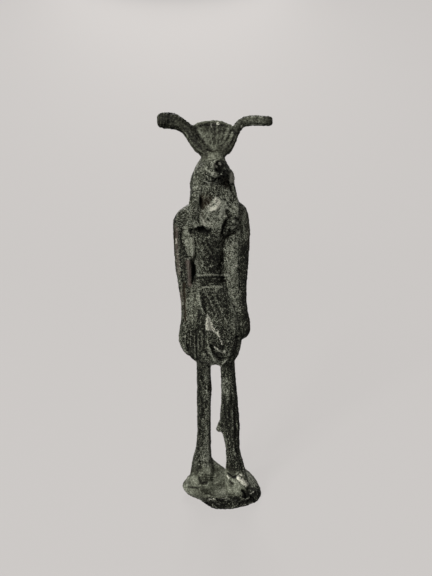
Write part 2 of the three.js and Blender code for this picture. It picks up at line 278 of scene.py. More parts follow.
wash("pale", [(199, 158), (214, 154), (216, 170), (213, 180), (203, 182), (195, 190), (191, 186),
              (193, 172)], 0.25)
wash("even", [(199, 158), (214, 154), (210, 164), (203, 182), (205, 206), (190, 206), (190, 172)], 0.5)
wash("pale", [(205, 168), (210, 163), (215, 166), (216, 172), (217, 181), (208, 182)], 0.8, 3)
# Painted shade: a dark strip where the bill's shadow falls below it.
wash("dark", [(204, 175.6), (210, 177), (218, 176.6), (224, 179), (218, 180), (208, 179)], 0.9, 2)
wash("dark", [(214, 163.4), (217, 160.4), (221, 159.6), (225.4, 163), (226.4, 170), (223, 175), (219, 174),
              (215.6, 169)], 1.6, 1.5)
# Painted shade in the recess between the bill's break and the wig's rim.
wash("dark", [(221, 172), (226, 171), (228.4, 180), (228.6, 189), (224, 188), (220, 180)], 0.9, 3)
# Painted light: a pale patch that lifts part of the bill's cast shadow.
wash("pale", [(211, 180), (220, 180), (223, 190), (212, 193)], 0.8, 3)
wash("pale", [(226.4, 163.4), (229.4, 166), (229.6, 172), (227, 170)], 0.7, 1.5)
for path in [[(216, 164), (218, 168)], [(221, 165), (221.6, 170)], [(217.4, 170), (220, 173)],
             [(224, 165), (224.6, 172)]]:
    groove(path, 1.3, 0.55, 1.6)
groove([(215, 171), (218.6, 173.4), (222, 173)], 0.7, 0.3, 0.9)
groove([(205, 173.6), (209, 176), (213, 178)], 0.6, 0.25, 0.8)
groove([(219.6, 163), (222.6, 167), (221, 171)], 0.8, 0.35, 1.0)
wash("brown", [(224, 178), (228, 178), (231, 190), (226, 188)], 0.6, 3)
# Painted shade under the bill, on the chin.
wash("dark", [(210, 188), (221, 185), (230, 187), (226, 195), (212, 197)], 0.6)
wash("pale", [(194, 185), (203, 183), (205, 199), (196, 199)], 0.95)
wash("pale", [(206, 160), (214, 158), (214, 166), (207, 168)], 0.9, 3)
wash("pale", [(228.6, 169), (234, 170), (235, 184), (230, 184)], 1.0, 2)
swell([(215, 163), (219, 160.6), (223, 163), (223.4, 168), (220.6, 171.6), (217, 169)], -0.4, 2)
ridge([(214.5, 161), (217, 160), (222, 161.5), (226, 164)], 0.7, 0.2, 0.5)
ridge([(206, 170), (210, 172.6), (215.4, 175)], 1.8, 0.4, 0.7)
for path in [[(208, 165), (210.4, 169)], [(212.6, 166), (213, 170)], [(206.4, 171.6), (211, 173.4)]]:
    groove(path, 0.8, 0.2, 0.9)
ridge([(205, 176), (209, 178.6), (212, 180)], 1.0, 0.25, 1.0)
ridge([(208, 167), (211, 170)], 1.2, 0.2, 1.0)
groove([(213, 181.5), (217, 179), (222, 177.5), (226, 178)], 0.9, 0.3, 1.0)
ridge([(229, 170), (232, 174), (232.8, 179), (232, 183)], 0.8, 0.4, 1.0)
daub("crust", [(230.4, 172), (231.4, 176), (231.6, 181)], 1.3, 2.2)
groove([(227.5, 172), (228.6, 178), (229.4, 185), (232, 190)], 0.9, 0.5, 1.0)
groove([(203, 175), (206.5, 177), (210, 182)], 0.6, 0.2, 0.7)
ridge([(206, 181), (209, 182.5), (210, 187)], 1.0, 0.2, 0.7)
daub("crust", [(219.8, 162.4), (221.2, 163.6)], 0.6, 1.0)
daub("crust", [(215.4, 163.4), (216.6, 165)], 0.9, 1.0)
ridge([(190.4, 170), (190.2, 188)], 0.8, 0.1, 0.0)
daub("dark", [(192.6, 174), (191.4, 184), (191.4, 198)], 1.6, 0.9)
groove([(190, 190.5), (194, 191.5)], 0.5, 0.15, 0.9)
groove([(196, 170), (199, 165), (204, 161)], 0.6, 0.12, 0.4)
wash("dark", [(199.6, 194), (204, 194), (205, 206), (200.6, 207)], 0.6, 3)
groove([(200.4, 196), (201, 203), (201.8, 207)], 0.8, 0.25, 0.7)
wash("brown", [(201, 195), (212, 196), (211, 206), (202, 210)], 0.7, 4)
wash("dark", [(199.6, 197), (204, 197), (204.6, 207), (200.6, 208)], 0.4, 2)
for spot in [(201, 199), (202.4, 203), (203.6, 207), (206.4, 199.6), (205.6, 204), (208.6, 202)]:
    groove([spot, (spot[0] + 0.5, spot[1] + 1.2)], 0.9, 0.25, 1.3)
wash("dark", [(191, 208), (198, 208), (198, 222), (191, 224)], 0.55)
groove([(198.6, 208), (199, 222)], 0.6, 0.2, 0.8)
wash("pale", [(221, 190), (234, 188), (238, 201), (236, 208), (230, 214), (222, 212)], 1.0)
# Painted light: a strong pale patch on the throat's right side, which faces right and down, away from the
# window lamp.
wash("pale", [(221, 204), (229, 204), (229, 217), (217, 219)], 3.0, 3)
wash("dark", [(230, 199), (237, 200), (237, 206), (232, 206)], 0.9, 3)
wash("pale", [(237, 203), (242, 205), (246, 215), (240, 217)], 1.2, 3)
for spot in [(224.5, 199), (227.5, 203), (231, 200), (229, 206), (234.5, 196), (225.5, 206.5), (232, 209),
             (205, 203)]:
    groove([spot, (spot[0] + 0.8, spot[1] + 0.5)], 0.7, 0.2, 1.0)
groove([(234.5, 188), (237, 194), (238.5, 201)], 0.6, 0.2, 0.7)

# Throat and chest: a pale slope from the chin to the breast, cast with the body. White lime lies
# thickly on the throat, and dark pits and hollows part the chest from the wig's ends.
wash("pale", [(205, 207), (213, 198), (228, 196), (238, 207), (232, 213), (224, 215), (220, 228),
              (207, 229), (200, 226), (201, 214)], 1.25)
ridge([(214.5, 202), (217, 206), (215, 210), (210, 210.5)], 1.4, 0.2, 1.0)
daub("crust", [(216, 200), (218, 203), (217, 207)], 1.7, 1.25)
daub("crust", [(215, 208), (211, 209.4)], 1.3, 1.05)
daub("crust", [(207.6, 206.4), (211.4, 204)], 0.8, 0.85)
daub("crust", [(203, 221), (205, 224), (203.5, 226.5)], 0.8, 0.7)
daub("crust", [(210, 223), (212.3, 226)], 0.7, 0.7)
daub("brown", [(202, 214), (204, 222)], 1.4, 0.5)
wash("dark", [(208, 195), (215, 195), (215, 200), (209, 202)], 0.6, 3)
wash("dark", [(203, 206), (208, 206), (208, 212), (204, 213)], 0.6, 3)
groove([(206.5, 211.5), (206, 216), (203.5, 218)], 0.5, 0.15, 0.8)
groove([(207.5, 219), (210.5, 221.5)], 0.6, 0.15, 0.8)
groove([(229, 213), (230.5, 217), (227, 222), (225, 230), (223, 235)], 1.6, 0.5, 1.0)
groove([(226, 214), (223, 217.5)], 0.7, 0.25, 0.9)
groove([(236, 218), (238, 219.5)], 0.7, 0.15, 0.7)
for path in [[(232, 229), (235, 226.6)], [(231, 232), (234, 231)], [(234, 221), (237, 223)]]:
    ridge(path, 1.0, 0.2, 1.0)
groove([(231, 224), (230, 229)], 0.8, 0.2, 0.8)
# Painted shade in the hollow between the chest and the wig's end on the figure's left.
wash("dark", [(225, 213), (230, 213), (231, 220), (230, 228), (228, 232), (223, 236), (222, 226)], 1.0, 3)
wash("dark", [(230, 214), (236, 216), (236, 226), (230, 228)], 0.4)
for path in [[(227, 211), (230.6, 217)], [(226, 219), (229, 225)], [(224, 227), (222, 236)]]:
    groove(path, 1.2, 0.35, 1.0)
wash("pale", [(231, 222), (239, 219), (241, 236), (231, 236)], 0.8, 3)
ridge([(231.4, 218), (233.6, 222.6)], 1.0, 0.2, 1.0)
ridge([(224.6, 217), (223.4, 222)], 0.9, 0.2, 1.0)
ridge([(230, 227), (227, 230)], 0.8, 0.15, 0.9)
# Painted shade under the breasts, darkest at their undercut.
wash("dark", [(190, 229), (200, 226), (213, 230), (212, 237), (200, 237), (190, 235)], 1.0, 3)
wash("dark", [(196, 226.4), (203, 226), (209, 230), (207, 234), (198, 233)], 1.7, 2)
wash("pale", [(193, 222), (200, 221), (201, 227), (194, 229)], 1.0)

# Torso: cast breasts that end in deep undercut lines, and below them a dark waist, which is worn
# nearly smooth and has small pits.
groove([(191.5, 231), (196, 232.5), (200, 229.5), (204, 229), (208.5, 232)], 1.8, 0.6, 1.0)
groove([(198, 231), (202, 230.4), (207, 232.4)], 2.2, 0.6, 1.4)
for path in [[(195.6, 226.4), (197, 229)], [(200.4, 225.6), (201, 227.6)],
             [(205.6, 226.4), (205.4, 228.4)], [(209, 228), (208.4, 230.4)]]:
    ridge(path, 0.9, 0.3, 1.2)
groove([(223.5, 237), (229, 236), (234, 232.5), (237, 234)], 1.1, 0.2, 0.8)
groove([(211, 230), (212.5, 234), (214, 238)], 1.1, 0.25, 1.0)
groove([(224, 238), (220.5, 242), (219, 248)], 0.5, 0.15, 0.7)
groove([(226, 237), (223.6, 243), (223, 252), (223.6, 262)], 0.6, 0.2, 0.2)
wash("dark", [(194, 232), (218, 236), (220, 256), (225, 273), (198, 272)], 0.38)
wash("dark", [(207, 254), (222, 253), (225, 256), (226, 272), (209, 273)], 1.15)
wash("pale", [(220, 236), (228, 238), (226, 252), (218, 251)], 0.8)
for spot in [(209, 258), (213, 257.5), (217, 260), (220, 264), (218, 269), (214, 271), (209.5, 269),
             (207.5, 264), (221.5, 260)]:
    groove([spot, (spot[0] + 0.6, spot[1] + 0.8)], 0.9, 0.22, 1.6)
ridge([(210.6, 265.4), (213.5, 265)], 1.1, 0.25, 1.6)
for spot in [(206, 250), (208.4, 244), (215, 241), (219, 246), (203, 243), (212, 252), (203.6, 260),
             (205, 270)]:
    groove([spot, (spot[0] + 0.9, spot[1] + 1.2)], 0.9, 0.15, 1.1)
for spot in [(202, 250), (216, 238.6), (209, 239), (203, 264.6), (216.4, 262), (212, 260.4)]:
    ridge([spot, (spot[0] + 0.6, spot[1] + 1.4)], 0.8, 0.12, 1.1)
groove([(210.8, 247.5), (212.4, 248.5)], 1.0, 0.25, 1.0)
ridge([(201, 257), (202.6, 262), (202, 267)], 1.0, 0.1, 0.6)
ridge([(195.6, 258), (197.4, 266), (197, 275)], 0.8, 0.12, 0.9)

# Belt: a sunken band between two raised rims, cut in the wax and cast with the body. Dark dirt lies
# along its rims.
ridge([(196.5, 275.4), (204, 275.6), (212, 274.6), (220, 275.6), (229, 275.4)], 0.6, 0.28, 1.5)
wash("dark", [(197, 277.4), (212, 276.6), (225, 277), (225, 284), (212, 284.6), (200, 285)], 0.6, 1.5)
groove([(197, 277.6), (205, 277.8), (213, 277), (224, 277.2)], 0.7, 0.3, 1.5)
groove([(210, 281), (217, 281.4), (224, 281)], 1.6, 0.3, 1.0)
groove([(198, 282), (210, 281.4)], 1.2, 0.16, 0.5)
groove([(200, 285.2), (212, 284.8), (224, 284.6)], 0.5, 0.16, 0.9)
ridge([(201, 287.6), (212, 286.8), (222, 287)], 0.6, 0.2, 1.4)
ridge([(203, 280), (206, 283.4)], 0.6, 0.12, 0.9)

# Kilt: a sunken front panel with two fine slanting folds and a crust of lime, pleats gathered at the
# figure's right, and two raised folds that meet between the legs.
swell([(200, 292), (226, 291), (230, 306), (228, 320), (219, 318), (205, 312)], -0.35, 4)
wash("dark", [(201, 293), (226, 292), (230, 306), (229, 322), (214, 312), (204, 309)], 0.38)
wash("dark", [(201, 296), (206, 296), (207, 308), (202, 308)], 0.9, 3)
wash("dark", [(225, 297), (230, 297), (230, 321), (226, 321)], 0.8, 3)
ridge([(199, 290), (199.6, 300), (201.5, 308), (205, 314)], 0.6, 0.2, 0.9)
for shift in (0, 6.8):
    ridge([(207.2 + shift, 294.5), (210.5 + shift, 301), (213.8 + shift, 308), (216.4 + shift, 314.5)],
          0.42, 0.16, 1.0)
    groove([(206 + shift, 296), (209 + shift, 302.5), (212.2 + shift, 309), (214.6 + shift, 315)], 0.5,
           0.2, 1.0)
ridge([(207.5, 315), (207.2, 322), (207.6, 329)], 1.1, 0.2, 1.0)
for path, width in [([(207.5, 315), (207.4, 320)], 0.55), ([(208, 319), (209, 329)], 1.0),
                    ([(209, 327), (213.2, 329.5)], 0.95), ([(214, 331.5), (217.6, 334)], 0.8),
                    ([(217.6, 329.5), (217.8, 334)], 0.7), ([(218.4, 335), (220.4, 340), (221.8, 344)], 0.6)]:
    daub("crust", path, width * 1.1, 0.8)
wash("crust", [(206.4, 313), (208.6, 315.5), (211, 321), (214.4, 327), (215.6, 331), (210, 331), (206, 329.6),
               (205.4, 321)], 0.95, 1.6)
wash("dark", [(216, 318), (230, 317), (230, 334), (214, 340)], 0.35)
wash("dark", [(208, 333), (215, 336), (224, 338), (224, 350), (216, 357), (211, 350)], 0.85)
wash("dark", [(197, 308), (206, 312), (207, 345), (192, 362), (184, 348), (187, 333), (195, 322)], 0.9)
wash("dark", [(179, 326), (184, 326), (187, 346), (181, 344)], 0.8, 3)
wash("dark", [(226, 330), (240, 330), (238, 350), (228, 358)], 0.35)
wash("pale", [(192, 287), (199, 288), (200, 304), (195, 330), (187, 330), (188, 304)], 0.65)
wash("even", [(189, 287), (199, 288), (200, 304), (193, 324), (187, 322), (186, 302)], 0.6)
wash("pale", [(228, 289), (238, 289), (240, 318), (231, 316)], 0.7)
wash("pale", [(230, 316), (242, 316), (241, 336), (230, 334)], 0.3)
for path in [[(193.4, 334), (193.8, 346), (194.4, 361)], [(196.6, 332), (197, 346), (197.4, 362)],
             [(199.8, 334), (200.2, 343), (200.4, 349)], [(187.4, 335), (187.2, 344), (188.6, 353)],
             [(183.8, 338), (184, 345)], [(204.4, 322), (204.6, 336)], [(198.6, 312), (199, 328)]]:
    groove(path, 0.5, 0.24, 1.0)
ridge([(190.6, 328), (190.4, 345)], 0.5, 0.15, 1.0)
ridge([(195, 334), (195.4, 358)], 0.5, 0.12, 0.5)
ridge([(203.4, 354), (203.8, 360)], 1.5, 0.4, 0.4)
groove([(200.4, 358), (200.8, 352.5), (203.8, 350), (207, 352), (208, 358)], 0.6, 0.35, 1.0)
ridge([(207.6, 341), (210, 349), (213.2, 355.5), (216, 361)], 0.7, 0.35, 1.0)
groove([(211.5, 346), (214.5, 352), (217.6, 358)], 0.9, 0.4, 1.0)
ridge([(227.2, 358.4), (224, 362), (220.8, 365.6)], 0.65, 0.3, 1.0)
swell([(217, 350), (227, 349.5), (226, 358), (218, 359)], 0.25, 2)
daub("crust", [(219, 351), (221.4, 352.4)], 0.7, 0.75)
daub("crust", [(223.4, 351), (224.4, 352)], 0.7, 0.8)
daub("pale", [(227.4, 352.4), (230, 349.6)], 0.7, 1.0)
groove([(218, 353), (218.4, 357.6), (222, 359), (225.4, 357.4)], 0.6, 0.25, 1.0)
for path, width in [([(213.6, 347), (215.4, 353), (218.6, 358), (222.6, 359)], 1.3),
                    ([(219.6, 353), (222, 355)], 1.0)]:
    groove(path, width, 0.45, 1.5)
for path in [[(213.6, 345.6), (215, 349.4)], [(216.4, 349.4), (219, 350.2), (222.4, 352.6)],
             [(223.6, 350.6), (226.6, 351)], [(208, 346.6), (211, 353), (214.4, 359.6)]]:
    ridge(path, 0.8, 0.3, 1.4)
for spot in [(214.4, 347.6), (217, 349), (224, 351), (206.6, 333.4)]:
    daub("crust", [spot, (spot[0] + 0.8, spot[1] + 0.6)], 0.8, 0.8)
for path in [[(191.2, 330), (190.8, 346)], [(188.4, 334), (187.6, 344)], [(194.6, 336), (195.4, 360)],
             [(201.6, 334), (201.8, 348)], [(198.2, 338), (198.6, 356)], [(184.8, 336), (185.6, 346)]]:
    ridge(path, 0.42, 0.16, 1.2)
wash("dark", [(228, 352), (236, 344), (237, 352), (234, 360), (232, 358)], 0.8, 3)
wash("pale", [(226, 354), (231, 353), (231, 363), (226, 363)], 0.6, 3)
groove([(232, 340), (236, 337), (240, 336)], 0.7, 0.25, 0.9)
groove([(231, 346), (234, 341)], 0.6, 0.2, 0.8)
wash("dark", [(190, 356), (204, 353), (205, 362), (198, 366), (192, 362)], 1.0, 3)

# Arms: flat strips at the sides, joined to the body by thin pale webs of metal. The figure's right
# arm is edged with bare copper, and the left one carries painted shade along its outer side.
for path in [[(180, 214), (184, 212)], [(179, 232), (179.6, 240)], [(182, 246), (182.6, 252)],
             [(184.6, 262), (185, 270)], [(182.6, 276), (183.2, 286)], [(245, 222), (246, 230)],
             [(241, 228), (242.4, 234)]]:
    daub("dark", path, 1.6, 1.0)
wash("dark", [(176, 226), (183, 226), (181, 258), (185, 290), (186, 335), (180, 335), (178, 290), (176, 250),
              (174, 236)], 0.5)
wash("pale", [(177, 210), (190, 206), (191, 222), (182, 226)], 0.45)
wash("pale", [(185, 224), (193, 232), (196, 258), (185.5, 257.4), (183.6, 236)], 1.0)
wash("even", [(185, 224), (193, 232), (194.5, 256), (185.5, 257), (183.6, 236)], 0.7)
# Painted shade: the narrow slot between the figure's right arm and the waist is filled dark.
wash("dark", [(190, 259.4), (192, 259.4), (195.4, 267), (196, 276), (194.6, 282), (192.4, 281),
              (191.6, 270)], 1.7, 1.5)
wash("pale", [(190, 252), (195, 252), (196, 264), (192, 262)], 2.0, 1.5)
wash("dark", [(172, 220), (178, 220), (181, 262), (184, 292), (179, 292), (175, 262)], 0.8, 3)
groove([(182.4, 226), (181, 238), (180.4, 256), (182, 272)], 0.6, 0.2, 0.7)
groove([(181, 257), (190, 256.6)], 0.6, 0.2, 0.9)
groove([(185.4, 252.6), (186, 254.5)], 0.7, 0.2, 1.0)
groove([(183.6, 284), (184.4, 300), (184.8, 320)], 0.7, 0.3, 1.0)
daub("brown", [(184, 284), (185, 320)], 1.2, 1.0)
daub("dark", [(175, 214), (173.8, 230), (174.4, 252), (176.4, 282), (179, 318), (178.4, 334)], 1.8, 1.3)
daub("brown", [(174, 226), (174.6, 250), (176.6, 282), (179.2, 318)], 1.4, 0.8)
daub("copper", [(176.6, 228), (176.6, 246), (178, 262), (179, 274)], 1.0, 0.5)
daub("copper", [(188, 262), (189.6, 270), (190, 284)], 1.5, 1.0)
daub("copper", [(181, 292), (181.6, 312)], 1.0, 0.45)
daub("crust", [(176, 239.5), (176.2, 243)], 0.65, 0.9)
daub("crust", [(176.4, 229), (177.2, 229.6)], 0.5, 0.6)
wash("pale", [(227, 240), (236, 238), (238, 260), (237, 300), (228, 298), (225, 262)], 0.8)
daub("crust", [(230.5, 245), (234, 243.4)], 0.6, 0.7)
daub("crust", [(234, 267), (237.5, 265)], 0.9, 0.7)
groove([(238, 269), (240, 269.4)], 0.8, 0.2, 1.0)
groove([(239.6, 240), (239, 262), (240, 290)], 0.6, 0.16, 0.6)
# Painted shade along the outer side of the figure's left arm, which faces away from the window lamp.
wash("dark", [(241.6, 246), (250, 242), (248, 300), (252, 330), (246, 336), (243, 320), (241.6, 300)],
     1.35, 3)
wash("pale", [(233, 236), (240, 238), (241, 270), (235, 270)], 0.6)
wash("pale", [(231, 300), (240, 304), (243, 334), (234, 338), (231, 318)], 0.75)
# More painted shade along that arm's outer side.
wash("dark", [(242, 238), (250, 236), (249, 300), (250, 330), (243, 300)], 0.8, 3)
# Painted shade: brown along the shaded outer edge of that arm.
daub("brown", [(248, 215), (249, 250), (247, 285), (247.6, 310), (249.6, 330)], 1.3, 0.6)
# Painted shade: a dark line down that arm's shaded side.
daub("dark", [(242, 246), (241.6, 262), (242.6, 280), (243, 300)], 1.2, 1.2)
wash("pale", [(235, 206), (244, 210), (247, 224), (246, 238), (240, 238), (236, 222)], 1.0)
# Painted shade over the figure's left fist.
wash("dark", [(241, 316), (251, 318), (250, 334), (242, 337)], 1.3, 3)
swell([(190.5, 238), (195, 236), (196, 258.6), (191, 258.6)], 0.4, 2)
wash("pale", [(190, 238), (195.6, 236), (196.4, 258.4), (190, 258.4)], 0.8, 2)

# Legs: the figure's right leg is a smooth cast bar, and the left one is knobbly, cut by long grooves,
# with a ragged fin of metal on its inner side.
# Painted shade down the left side of the figure's right leg, and painted light down its right side.
wash("dark", [(196, 364), (204, 364), (204, 446), (196, 446)], 1.0, 5)
wash("pale", [(206, 366), (213, 366), (214, 466), (205, 466)], 0.5)
wash("pale", [(222, 378), (230, 378), (231, 393), (223, 393)], 0.8, 4)
for path in [[(201, 370), (202, 373)], [(201, 377), (203, 382)], [(205, 384), (206, 388)],
             [(209, 384), (209.6, 390)], [(201.4, 398), (202, 403)], [(203.4, 409), (203.8, 418)],
             [(200.6, 431), (201.4, 435)], [(200, 375), (203, 378)], [(199.6, 386), (200.6, 394)],
             [(206.6, 402), (207, 407)], [(200, 418), (201, 426)]]:
    groove(path, 1.3, 0.28, 0.9)
ridge([(206.6, 386.6), (207.4, 388)], 0.8, 0.2, 1.0)
daub("crust", [(207, 387), (207.6, 388)], 0.5, 0.8)
ridge([(206, 391), (208.6, 397)], 1.2, 0.15, 0.8)
groove([(210.4, 368), (211, 392), (210.4, 428), (210.4, 444)], 0.7, 0.15, 1.0)
daub("brown", [(210.6, 372), (210.8, 410), (210.6, 440)], 0.8, 0.8)
groove([(199, 374), (199, 410)], 0.5, 0.12, 0.6)
wash("dark", [(221, 366), (236, 364), (240, 432), (239, 470), (227, 470), (226, 434)], 0.75)
wash("dark", [(221, 398), (238, 398), (240, 440), (228, 444), (222, 426)], 1.15)
wash("dark", [(231, 386), (237, 386), (241, 430), (241, 440), (234, 420)], 0.9, 3)
daub("brown", [(235.6, 366), (237.4, 396), (239.4, 424)], 0.9, 0.5)
ridge([(227, 391), (228.4, 397), (228, 402)], 1.1, 0.2, 1.0)
ridge([(224, 384), (224.6, 392)], 1.2, 0.15, 0.7)
groove([(223.6, 366), (224, 376)], 0.9, 0.25, 0.9)
groove([(224, 400), (224.6, 412), (227.6, 426)], 0.8, 0.25, 0.8)
groove([(231.6, 390), (232, 398), (231.4, 404)], 0.8, 0.3, 1.0)
groove([(229.4, 408), (230.4, 424), (228.6, 438)], 0.6, 0.28, 1.0)
ridge([(231.8, 410), (232.6, 424), (232, 440)], 0.6, 0.22, 0.9)
groove([(234.6, 404), (236, 424), (235.4, 440), (236.6, 452)], 0.7, 0.3, 1.0)
ridge([(237, 420), (237.6, 436)], 0.5, 0.15, 0.6)
ridge([(233.6, 448), (235.4, 456)], 0.7, 0.22, 0.9)
groove([(229, 446), (230, 456), (232, 466)], 0.7, 0.28, 0.9)
groove([(225.4, 446), (227.4, 458), (227, 470)], 0.7, 0.2, 0.8)
groove([(238.6, 452), (241, 464), (242.6, 471)], 0.7, 0.22, 0.8)
ridge([(218.4, 424), (220, 430), (222, 433)], 0.5, 0.15, 0.5)
groove([(216.6, 430), (220, 434), (223, 434.6)], 0.6, 0.15, 1.0)
# Painted light on the right side of the figure's right ankle, and painted shade on its left side.
wash("pale", [(203, 440), (210, 440), (214, 464), (208, 470), (202, 466)], 0.6)
wash("dark", [(188, 444), (199, 444), (201, 472), (188, 472)], 0.45)

# Feet and plinth: worn feet, cast in one with a low uneven plinth. Its top is flat and pale, with
# white spots, and its front is dark and full of casting holes.
# Painted light: a pale patch that lifts the shade between the legs, where they meet the plinth.
wash("pale", [(207, 436), (212, 440), (213, 462), (212, 480), (208, 480), (205, 470)], 1.1)
wash("pale", [(204, 482), (222, 482), (222, 490), (204, 490)], 0.9, 3)
wash("pale", [(186, 476), (198, 476), (198, 484), (186, 486)], 1.0, 3)
wash("pale", [(184, 488), (190, 488), (196, 494), (190, 495)], 0.9, 3)
wash("dark", [(213, 466), (219, 468), (220, 482), (213, 482)], 0.6, 3)
wash("pale", [(190, 474), (198, 473), (198, 484), (186, 484)], 0.3)
wash("pale", [(206, 484), (214, 478), (224, 468), (226, 478), (238, 480), (246, 488), (240, 495), (216, 496),
              (206, 492)], 0.8)
wash("pale", [(184, 484), (207, 486), (206, 498), (190, 491)], 0.3)
wash("even", [(180, 470), (200, 466), (225, 464), (250, 476), (252, 490), (240, 497), (206, 500),
              (184, 492)], 1.2)
wash("dark", [(199, 476), (206, 475), (207, 484), (199, 484)], 0.7, 3)
groove([(199.4, 478), (202, 483.4), (206.6, 482.6)], 0.9, 0.3, 0.9)
for down in (474.6, 477, 479.4):
    groove([(201.6, down), (209, down + 0.6), (215, down + 0.4)], 0.4, 0.14, 0.8)
ridge([(187, 484.6), (197, 486), (206, 485), (213, 481.4)], 0.6, 0.08, 0.6)
groove([(188, 487), (198, 488)], 0.5, 0.12, 0.5)
groove([(227, 473), (233, 477.4), (239, 476)], 0.8, 0.3, 1.0)
groove([(230, 482), (232.4, 484)], 0.9, 0.2, 0.7)
ridge([(238.4, 478), (242, 481), (247, 484)], 1.1, 0.2, 1.0)
daub("crust", [(238.4, 478), (242, 481), (246.6, 484)], 1.2, 1.3)
wash("crust", [(237, 476), (241, 477.4), (247.6, 481.4), (248.6, 485), (246, 487), (241, 483.4), (238, 480)],
     1.3, 2)
wash("pale", [(236, 470), (246, 472), (251, 482), (249, 488), (240, 484)], 0.6)
wash("pale", [(244, 467), (251, 474), (259, 486), (259, 495), (252, 487), (246, 479)], 1.0, 3)
wash("pale", [(198, 470), (206, 472), (208, 484), (198, 486)], 0.5)
wash("pale", [(205, 452), (213, 457), (226, 469), (228, 486), (210, 488), (207, 474)], 1.0)
daub("crust", [(239, 474.4), (244.6, 476)], 0.5, 0.9)
daub("crust", [(227.4, 476.4), (228.4, 477.6)], 0.8, 1.0)
groove([(238.6, 477), (244, 479.4), (249, 483)], 0.5, 0.2, 0.9)
ridge([(207, 495), (215, 497), (226, 496.4), (240, 494.6), (246, 489)], 0.6, 0.06, 0.3)
wash("dark", [(205, 498), (240, 497), (250, 487), (258, 486), (263, 498), (254, 508), (222, 514),
              (205, 508)], 1.3, 3)
wash("dark", [(198, 489), (214, 492), (214, 503), (203, 502)], 0.5, 4)
daub("dark", [(206, 504), (215, 508.6), (232, 510), (245, 507), (255, 501)], 2.4, 2.0)
for path, width in [([(219, 500), (225, 501)], 1.6), ([(228, 504), (231, 503)], 1.5),
                    ([(235, 499.4), (238.4, 500)], 1.4), ([(209, 499), (212, 502)], 1.3),
                    ([(207, 503.6), (211, 505)], 1.0), ([(240, 504), (244, 503)], 1.1),
                    ([(246, 496), (249, 494)], 1.2), ([(251.6, 497), (255, 499)], 1.2),
                    ([(222, 505), (226, 506.4)], 0.9), ([(243, 490.6), (245.4, 492.4)], 1.0),
                    ([(248, 501), (251, 500)], 0.9)]:
    groove(path, width, 0.6, 1.4)
for path in [[(213, 505), (219, 507.6)], [(226, 498), (230, 499.4)], [(232.6, 506), (238, 505)],
             [(240, 497.6), (243.6, 499)], [(249, 503), (253, 501.6)], [(214, 499), (217, 501.6)],
             [(249, 490), (253, 492)]]:
    ridge(path, 0.9, 0.25, 1.0)
for path in [[(208, 500), (214, 502.4)], [(216, 503.6), (223, 504.6)], [(221, 498.4), (228, 498)],
             [(230, 501.8), (237, 501)], [(236, 504.6), (242, 503)], [(244, 500), (249.4, 498)],
             [(225, 508), (235, 507)], [(211, 505.6), (218, 508.4)], [(241, 506.4), (246, 504.4)],
             [(250.6, 494), (255, 490)], [(256, 496), (258.6, 493)], [(213, 498.6), (217, 500)]]:
    daub("crust", path, 0.55, 0.48)

# Back and sides: finished as the front is, but plainer: a striped wig, a hollow spine between the
# shoulder blades, a belt, pleats all round the kilt, and long hollows beside the arms.
for x in (-3.6, -2.4, -1.2, 0, 1.2, 2.4, 3.6):
    groove([(x * 0.55, 3.4, 71.4), (x, 3.6, 67), (x * 1.1, 3.4, 60.6)], 0.55, 0.13, 0.4)
groove([(-5, 2.4, 60.2), (-2.4, 3.2, 59.4), (0, 3.4, 59.2), (2.4, 3.2, 59.4), (4.8, 2.4, 60.2)], 2.4, 0.7,
       0.5)
for x, lean in ((-3.4, 0.8), (2.6, -0.8)):
    ridge([(x, 3, 58), (x + lean, 2.8, 54.5)], 4.0, 0.6, 0.4)
groove([(-0.4, 3, 58), (-0.9, 2.8, 53), (-1.3, 2.6, 47.6)], 4.0, 0.8, 0.3)
pleat_pitch = 0.87
for x in np.arange(-4.2, 3.6, pleat_pitch):
    groove([(x * 0.66 - 0.8, 3.2, 45), (x * 0.9, 3.4, 39), (x * 1.08, 3.6, 32.6)], 0.5, 0.15, 0.4)
for x in (-7.6, 6.9):
    groove([(x * 0.93, 0.9, 59), (x, 0.9, 52), (x * 0.9, 0.2, 44), (x, -0.6, 37)], 0.8, 0.2, 0.6)
    daub("pale", [(x, -0.4, 57), (x, -0.2, 50), (x * 0.9, -1, 42)], 1.6, 0.7)
for side, lean in ((-5.7, 0.2), (5.1, -0.3)):
    groove([(side + lean, 2.6, 57), (side, 2, 51), (side + lean, 1.7, 44), (side, 1.7, 37)], 2.0, 0.55, 0.5)
for level in (46.4, 44):
    groove([(-4.8, 2.2, level), (-1, 3.4, level - 0.3), (4.2, 2.4, level)], 0.7, 0.25, 0.6)
for path in [[(-2.9, 2.8, 26), (-3, 2.9, 19)], [(1.9, 2.6, 26), (2.6, 2.6, 20)]]:
    ridge(path, 1.8, 0.25, 0.3)
for path in [[(-3, 3, 28.4), (-3, 3, 27)], [(1.8, 2.6, 29), (1.8, 2.6, 27.6)],
             [(-5.6, 2.5, 49), (-4.6, 2.6, 43)], [(3.6, 2.6, 50), (4, 2.6, 42)],
             [(-1.8, 3.6, 34), (1.6, 3.6, 33)], [(0.4, 4.6, 1), (3, 5, 2)]]:
    daub("dark", path, 2.2, 0.9)
for path in [[(-2, 3, 56), (-4.6, 2.5, 55)], [(3, 3, 57), (4.4, 2.4, 53)], [(-1, 3.6, 63), (1.2, 3.6, 65)],
             [(-2.4, 3.2, 41), (-1, 3.4, 38)], [(2, 3.4, 38), (2.6, 3.4, 35)],
             [(-5, 4.6, 1.6), (-2, 5.4, 1.6)]]:
    daub("pale", path, 2.6, 0.9)
for path in [[(1.6, 3.4, 61.6), (2.2, 3.4, 61)], [(-1.6, 3.4, 36.4), (-1.2, 3.4, 35.4)],
             [(-3, 2.9, 12), (-3, 2.9, 11)]]:
    daub("crust", path, 1.2, 1.2)

